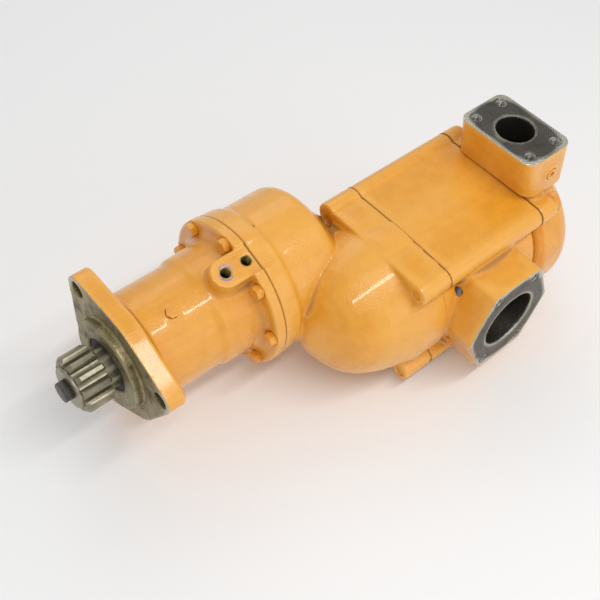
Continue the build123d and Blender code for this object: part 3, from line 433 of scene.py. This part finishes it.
def case_cuts(x, y, z):
    """Both joint faces, the gear cavity, the bearing seats and the bolt holes, each with a margin."""
    cuts = [case_front_x + 1.0 - x, x - (case_rear_x - 1.4),
            np.minimum(within(y, z, (0, 0), 66.0), gear_cavity_end_x - x),
            np.minimum(within(y, z, (0, 0), 33.0), 231.0 - x),
            np.minimum(within(y, z, motor_axis, 28.0), x - 168.0)]
    cuts += [np.minimum(within(y, z, spot, 5.4), 170.0 - x) for spot in screw_spots]
    cuts += [within(y, z, spot, 6.4) for spot in bolt_spots]
    return any_of(cuts)


def case_bare(x, y, z):
    """Only the inside is bare: gear cavity, rear chamber and pinion bearing seats."""
    return any_of([np.minimum(within(y, z, (0, 0), 65.5), gear_cavity_end_x - x),
                   np.minimum(within(y, z, motor_axis, 69.5), x - 238.0),
                   np.minimum(within(y, z, motor_axis, 28.0), x - 180.0)])


case_skin = cast_skin("gear_case", 1.3, case_cuts, case_bare, root_steps=(1, 2, 3, 4, 4))
case_skin.data.materials.append(enamel("painted_gear_case"))

# ------------------------------------------------------------------ motor housing
# Grey iron casting round the vane motor's liner, with a flat top panel between two bolt ridges and a
# six-sided exhaust duct. Ends, bore and exhaust face are machined, and the exhaust face stays bare.
motor_low, motor_high = (np.array(corner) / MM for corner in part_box("motor_housing"))
exhaust_x, _, exhaust_z = centre_of("exhaust_bore")
exhaust_centre = (exhaust_x, exhaust_z)
exhaust_y = motor_low[1]
exhaust_radius = mounts["exhaust_bore"]["dims"]["r_mm"]
liner_seat_radius = 68.0


def bolt_corners(mount, centre):
    """The four corners of a bolt rectangle, from its mount's spacings."""
    reach_x, reach_y = (mounts[mount]["dims"][f"spacing_{way}_mm"] / 2 for way in "xy")
    return [(centre[0] + sx * reach_x, centre[1] + sy * reach_y) for sx in (-1, 1) for sy in (-1, 1)]


exhaust_spots = bolt_corners("exhaust_bolts", exhaust_centre)


def motor_cuts(x, y, z):
    """Both joint faces, the liner's seat, the exhaust face and bore and all bolt holes, with a margin."""
    cuts = [motor_low[0] + 1.2 - x, x - (motor_high[0] - 1.2), exhaust_y + 1.6 - y,
            within(y, z, motor_axis, liner_seat_radius + 1.5),
            np.minimum(within(x, z, exhaust_centre, exhaust_radius + 2.0), -120 - y)]
    cuts += [np.minimum(within(x, z, spot, 7.2), -150 - y) for spot in exhaust_spots]
    cuts += [within(y, z, spot, 6.4) for spot in bolt_spots]
    return any_of(cuts)


def motor_bare(x, y, z):
    """The exhaust face, its bore and tapped holes, and the liner's seat stay unpainted."""
    bare = [exhaust_y + 0.55 - y, within(y, z, motor_axis, liner_seat_radius + 0.6),
            np.minimum(within(x, z, exhaust_centre, exhaust_radius + 0.5), -120 - y)]
    bare += [np.minimum(within(x, z, spot, 5.8), -150 - y) for spot in exhaust_spots]
    return any_of(bare)


motor_skin = cast_skin("motor_housing", 1.4, motor_cuts, motor_bare)
motor_skin.data.materials.append(enamel("painted_motor_housing", centre=(exhaust_x * MM, 0, exhaust_z * MM),
                                        across=(1, 0, 1)))

# ------------------------------------------------------------------ rear head
# Grey iron end cap with the square air inlet block on top and a lug behind each tie bolt. Only the inlet
# face, its bore and its four tapped holes are bare.
head_low, head_high = (np.array(corner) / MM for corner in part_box("rear_head"))
inlet_x, inlet_y, _ = centre_of("inlet_bore")
inlet_z = head_high[2]
inlet_radius = mounts["inlet_bore"]["dims"]["r_mm"]
inlet_spots = bolt_corners("inlet_bolts", (inlet_x, inlet_y))
lug_end_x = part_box("tie_bolt_washers")[0].x / MM


def head_cuts(x, y, z):
    """Joint face, end plate recess, inlet face and bore, lug seats and bolt holes, with a margin."""
    cuts = [np.minimum(head_low[0] + 17.2 - x, 56.0 - z), z - (inlet_z - 1.6),
            np.minimum(within(y, z, motor_axis, liner_seat_radius + 1.5), 409.0 - x),
            np.minimum(within(x, y, (inlet_x, inlet_y), inlet_radius + 2.0), z - 45.0)]
    cuts += [np.minimum(within(x, y, spot, 7.2), z - 75.0) for spot in inlet_spots]
    cuts += [np.minimum(within(y, z, spot, 11.2), x - (lug_end_x - 1.2)) for spot in bolt_spots]
    cuts += [within(y, z, spot, 6.4) for spot in bolt_spots]
    return any_of(cuts)


def head_bare(x, y, z):
    """The inlet face, its bore and tapped holes, and the plenum inside stay unpainted.

    Past the plenum's wall its depth is held at 1 mm of paint, so the head is evenly covered there."""
    plenum = within(y, z, motor_axis, liner_seat_radius + 0.6)
    bare = [z - (inlet_z - 0.5), np.minimum(within(x, y, (inlet_x, inlet_y), inlet_radius + 0.5), z - 20.0),
            np.where(plenum > 0.0, np.minimum(plenum, 462.0 - x), -1.0)]
    bare += [np.minimum(within(x, y, spot, 5.8), z - 75.0) for spot in inlet_spots]
    return any_of(bare)


head_skin = cast_skin("rear_head", 1.3, head_cuts, head_bare)
head_skin.data.materials.append(enamel("painted_rear_head", centre=(inlet_x * MM, inlet_y * MM, 0),
                                       across=(1, 1, 0)))


# ------------------------------------------------------------------ painted fasteners
# Hexagon screws with split washers, tie bolts with flat washers and two plugs, steel, sprayed over with
# the castings, so their corners are soft under the film.
def body_of_node(name):
    """The CAD body that holds a node."""
    return next(body for body, names in frame["record"]["behaviour"]["bodies"].items() if name in names)


def soft_edged(name, width):
    """A merged copy of a CAD piece, which it replaces, with its edges rounded to a width in mm."""
    mesh = frame["nodes"][name].data.copy()
    mesh.materials.clear()
    piece = bpy.data.objects.new(name + "_finished", mesh)
    bpy.context.scene.collection.objects.link(piece)
    weld = piece.modifiers.new("weld", "WELD")
    weld.merge_threshold = 0.00001
    bevel = piece.modifiers.new("rounding", "BEVEL")
    bevel.width, bevel.segments, bevel.limit_method = width * MM, 3, "ANGLE"
    bevel.angle_limit = math.radians(28.0)
    bevel.use_clamp_overlap = True
    bevel.harden_normals = False
    bpy.context.view_layer.update()
    shaped = bpy.data.meshes.new_from_object(piece.evaluated_get(bpy.context.evaluated_depsgraph_get()))
    piece.modifiers.clear()
    piece.data = shaped
    shaped.shade_smooth()
    shaped.set_sharp_from_angle(angle=math.radians(38.0))
    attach(piece, body_of_node(name))
    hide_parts(name)
    return piece


hardware_enamel = enamel("painted_hardware", shade_and_dirt=1.4)
for fastener, width in (("housing_screws", 0.7), ("housing_lock_washers", 0.4), ("tie_bolts", 0.8),
                        ("tie_bolt_washers", 0.4), ("barrel_plug", 0.8), ("inlet_plug", 0.6)):
    painted = soft_edged(fastener, width)
    painted.data.materials.append(hardware_enamel)


# ------------------------------------------------------------------ output pinion
# Twelve-tooth pinion, hobbed from alloy steel, case hardened and dulled by oil. It runs on a smooth collar
# through the seal and is held on its shaft by a washer and a blackened hexagon screw.
def cut_metal(name, colour, roughness, centre=(0, 0, 0), stain=0.5, bump=0.12):
    """Turned or ground metal: tool rings, oil stains and a sheen that varies with them."""
    material = bpy.data.materials.new(name)
    material.use_nodes = True
    tree = material.node_tree
    surface = tree.nodes["Principled BSDF"]
    place = node(tree, "TexCoord").outputs["Object"]
    cut = group_node(tree, tool_marks, Place=place, Centre=centre)
    oil = math_of(tree, "MULTIPLY", ramp_of(tree, cut["Stain"], 0.40, 0.72), stain)
    dark = tuple(c * 0.35 for c in colour[:3]) + (1,)
    tree.links.new(blend_of(tree, oil, colour, dark), surface.inputs["Base Color"])
    sheen = math_of(tree, "MULTIPLY_ADD", cut["Stain"], 0.30, roughness - 0.12)
    tree.links.new(sheen, surface.inputs["Roughness"])
    surface.inputs["Metallic"].default_value = 0.95
    lift = node(tree, "Bump", Height=cut["Height"], Strength=bump, Distance=0.0004)
    tree.links.new(lift.outputs[0], surface.inputs["Normal"])
    return material


def finish(names, material):
    """Gives one material to pieces whose CAD shape is already the real one."""
    for name in names:
        materials = frame["nodes"][name].data.materials
        materials.clear()
        materials.append(material)


def finish_soft(name, width, material):
    """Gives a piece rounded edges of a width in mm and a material."""
    piece = soft_edged(name, width)
    piece.data.materials.append(material)


finish_soft("drive_pinion", 0.45, cut_metal("pinion_steel", (0.330, 0.300, 0.215, 1), 0.40, bump=0.2))
finish_soft("pinion_washer", 0.4, cut_metal("washer_steel", (0.360, 0.325, 0.245, 1), 0.38))
finish_soft("pinion_screw", 0.6, cut_metal("black_oxide_steel", (0.120, 0.108, 0.098, 1), 0.42, bump=0.15))


# ------------------------------------------------------------------ output shaft, bushing and lip seal
# A ground shaft with a splined socket in its tail, in an oiled sintered bronze bushing behind a matt black
# rubber lip seal, both pressed into the drive housing's nose.
def plain_stuff(name, colour, roughness, scale, bump):
    """Rubber, fibre or composite: a matt body with a fine grain and slight change of tone."""
    material = bpy.data.materials.new(name)
    material.use_nodes = True
    tree = material.node_tree
    surface = tree.nodes["Principled BSDF"]
    place = node(tree, "TexCoord").outputs["Object"]
    grain = node(tree, "TexNoise", i0=place, Scale=scale, Detail=6.0, Roughness=0.7).outputs[0]
    pale = tuple(min(1.0, c * 1.7 + 0.01) for c in colour[:3]) + (1,)
    tree.links.new(blend_of(tree, ramp_of(tree, grain, 0.35, 0.75), colour, pale), surface.inputs["Base Color"])
    sheen = math_of(tree, "MULTIPLY_ADD", grain, 0.25, roughness - 0.12)
    tree.links.new(sheen, surface.inputs["Roughness"])
    lift = node(tree, "Bump", Height=grain, Strength=bump, Distance=0.0004)
    tree.links.new(lift.outputs[0], surface.inputs["Normal"])
    return material


seal_rubber = plain_stuff("seal_rubber", (0.018, 0.018, 0.019, 1), 0.62, 900.0, 0.2)
finish(["output_shaft"], cut_metal("shaft_steel", (0.560, 0.545, 0.510, 1), 0.26))
finish(["front_bushing"], cut_metal("bearing_bronze", (0.560, 0.340, 0.130, 1), 0.36))
finish(["pinion_seal"], seal_rubber)

# ------------------------------------------------------------------ engagement piston and its return spring
# Air pushes an aluminium piston forward against an oil-tempered coil spring. A fixed aluminium wall closes
# the air chamber behind it, and rubber rings seal all three.
finish(["engagement_piston", "bulkhead"], cut_metal("cast_aluminium", (0.660, 0.660, 0.670, 1), 0.36))
finish(["piston_ring", "bulkhead_outer_seal", "bulkhead_inner_seal"], seal_rubber)
finish(["return_spring"], cut_metal("spring_steel", (0.190, 0.190, 0.205, 1), 0.40))

# ------------------------------------------------------------------ gears and bearings
# A spur gear and the rotor's pinion, hobbed and oiled, turn in ground ball bearings pressed into the cases.
finish(["drive_gear", "rotor_pinion"], cut_metal("gear_steel", (0.450, 0.440, 0.410, 1), 0.34))
finish([name for name in frame["nodes"] if "bearing_" in name],
       cut_metal("bearing_steel", (0.720, 0.720, 0.730, 1), 0.20, stain=0.2, bump=0.04))

# ------------------------------------------------------------------ gaskets
# Pressed fibre sheet, 0.8 mm, between the castings; only its trimmed edge shows as a brown line.
finish(["drive_gasket", "motor_gasket", "rear_head_gasket"],
       plain_stuff("gasket_fibre", (0.300, 0.150, 0.040, 1), 0.80, 1400.0, 0.4))

# ------------------------------------------------------------------ vane motor
# A slotted steel rotor with six composite vanes turns off centre in a cast iron liner between two iron end
# plates, all ground.
motor_centre = (0, motor_y * MM, motor_z * MM)
finish(["motor_liner", "front_end_plate", "rear_end_plate"],
       cut_metal("liner_iron", (0.260, 0.250, 0.240, 1), 0.40, centre=motor_centre))
finish(["rotor"], cut_metal("rotor_steel", (0.400, 0.390, 0.375, 1), 0.34, centre=motor_centre))
finish(["vanes"], plain_stuff("vane_composite", (0.110, 0.060, 0.032, 1), 0.58, 700.0, 0.3))


# ------------------------------------------------------------------ threads of the tapped holes
# The four bolt holes of each air flange and the two signal ports are tapped. Each thread is cut in its
# hole's wall; the signal ports' threads look brassy with sealant.
def tapped_wall(name, mouth, axis, radius, depth, pitch, cut, material, slot):
    """Thread inside a hole, as a closed sleeve. Along the hole by s and round it by angle t, the wall's
    radius is r - cut * w, where w is a triangle wave of s / pitch - t / 2 pi, from 0 at the root to 1 at the
    crest. The sleeve closes through a plain outer wall just behind the hole's own."""
    axis = np.array(axis, float)
    side = np.cross(axis, (1.0, 0, 0) if abs(axis[0]) < 0.9 else (0, 1.0, 0))
    side /= np.linalg.norm(side)
    up = np.cross(axis, side)
    turn = np.linspace(0, 2 * np.pi, 36, endpoint=False)
    down = np.linspace(0.4, depth, int(depth / pitch * 6))
    phase = (down[:, None] / pitch - turn[None, :] / (2 * np.pi)) % 1.0
    reach = radius - cut * (1 - np.abs(2 * phase - 1))
    reach = np.vstack([reach, np.full((2, len(turn)), radius + 0.25)])
    down = np.append(down, [depth, 0.4])
    round_way = np.cos(turn)[:, None] * side + np.sin(turn)[:, None] * up
    points = np.array(mouth) - down[:, None, None] * axis + reach[:, :, None] * round_way
    rows, columns = reach.shape
    i, j = np.meshgrid(np.arange(rows), np.arange(columns), indexing="ij")
    ahead, beside = (i + 1) % rows, (j + 1) % columns
    faces = np.stack([i * columns + j, i * columns + beside, ahead * columns + beside, ahead * columns + j], -1)
    mesh = bpy.data.meshes.new(name)
    mesh.from_pydata(points.reshape(-1, 3) * MM, [], faces.reshape(-1, 4))
    mesh.shade_smooth()
    mesh.set_sharp_from_angle(angle=math.radians(50))
    mesh.materials.append(material)
    sleeve = bpy.data.objects.new(name, mesh)
    bpy.context.scene.collection.objects.link(sleeve)
    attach(sleeve, "housing")


bright_thread = cut_metal("bright_thread", (0.520, 0.505, 0.460, 1), 0.34, stain=0.7)
brassy_thread = cut_metal("brassy_thread", (0.560, 0.430, 0.170, 1), 0.34, stain=0.4)
bolt_thread = {"radius": mounts["inlet_bolts"]["dims"]["hole_r_mm"], "depth": 20.0, "pitch": 1.95, "cut": 0.8,
               "material": bright_thread}
port_thread = {"radius": mounts["engage_port"]["dims"]["r_mm"], "depth": 13.0, "pitch": 1.4, "cut": 0.6,
               "material": brassy_thread}
for k, (hole_x, hole_y) in enumerate(inlet_spots):
    tapped_wall(f"inlet_thread_{k}", (hole_x, hole_y, inlet_z), (0, 0, 1), slot="painted_rear_head", **bolt_thread)
for k, (hole_x, hole_z) in enumerate(exhaust_spots):
    tapped_wall(f"exhaust_thread_{k}", (hole_x, exhaust_y, hole_z), (0, -1, 0), slot="painted_motor_housing",
                **bolt_thread)
for name, port_x in (("engage", engage_x), ("sense", sense_x)):
    mouth = port_pad_height * port_direction + np.array((port_x, 0, 0))
    tapped_wall(f"{name}_port_thread", mouth, port_direction, slot="painted_drive_housing", **port_thread)
